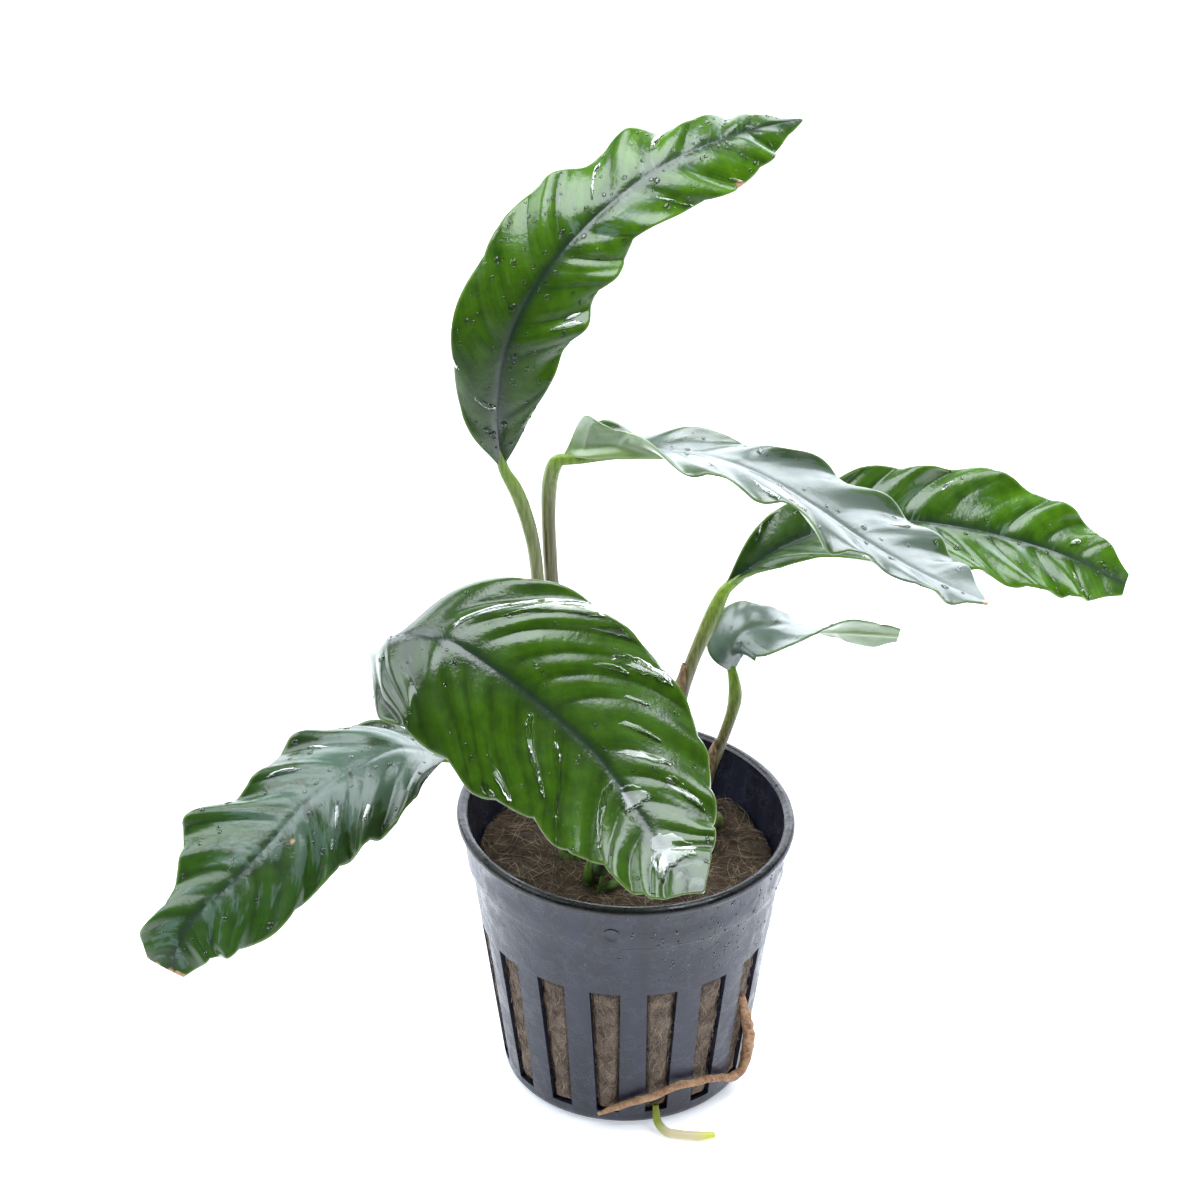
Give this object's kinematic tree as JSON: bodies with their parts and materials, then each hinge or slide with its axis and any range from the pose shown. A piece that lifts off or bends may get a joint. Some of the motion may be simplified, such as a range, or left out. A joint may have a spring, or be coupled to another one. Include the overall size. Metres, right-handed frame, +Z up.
{
  "type": "potted anubias coffeefolia",
  "caption": "Aquarium plant with glossy, ruffled leaves on stalks from a creeping rhizome, rooted in rock wool in a slotted net pot.",
  "frame": {"origin": "middle of the pot's flat underside", "axes": "+Z up along the pot's axis, -Y to the front, where the broad front leaf hangs over the rim, +X to the right, where the long leaves reach out"},
  "size_m": [0.1602, 0.0814, 0.1614],
  "materials": {
    "pot_plastic": "black-blue moulded plastic, satin, wet",
    "rock_wool": "brown matted mineral fibre",
    "rhizome": "green-brown stem",
    "leaf": "wet, glossy dark green, paler between the veins",
    "young_leaf": "glossy pale green",
    "stalk": "smooth, yellow-green above and brown-green below",
    "sheath": "dry brown papery sheath",
    "old_root": "dry wrinkled root",
    "new_root": "smooth, cream with a green base and a yellow tip"
  },
  "bodies": {
    "root": {"net_pot": "pot_plastic", "rock_wool": "rock_wool", "rhizome": "rhizome", "new_shoot": "young_leaf", "tall_leaf_blade": "leaf", "tall_leaf_stalk": "stalk", "front_leaf_blade": "leaf", "front_leaf_stalk": "stalk", "long_leaf_blade": "leaf", "long_leaf_stalk": "stalk", "right_leaf_blade": "leaf", "right_leaf_stalk": "stalk", "young_leaf_blade": "young_leaf", "young_leaf_stalk": "stalk", "low_leaf_blade": "leaf", "low_leaf_stalk": "stalk", "right_leaf_sheath": "sheath", "young_leaf_sheath": "sheath", "old_root": "old_root", "new_root": "new_root"}
  },
  "joints": []
}
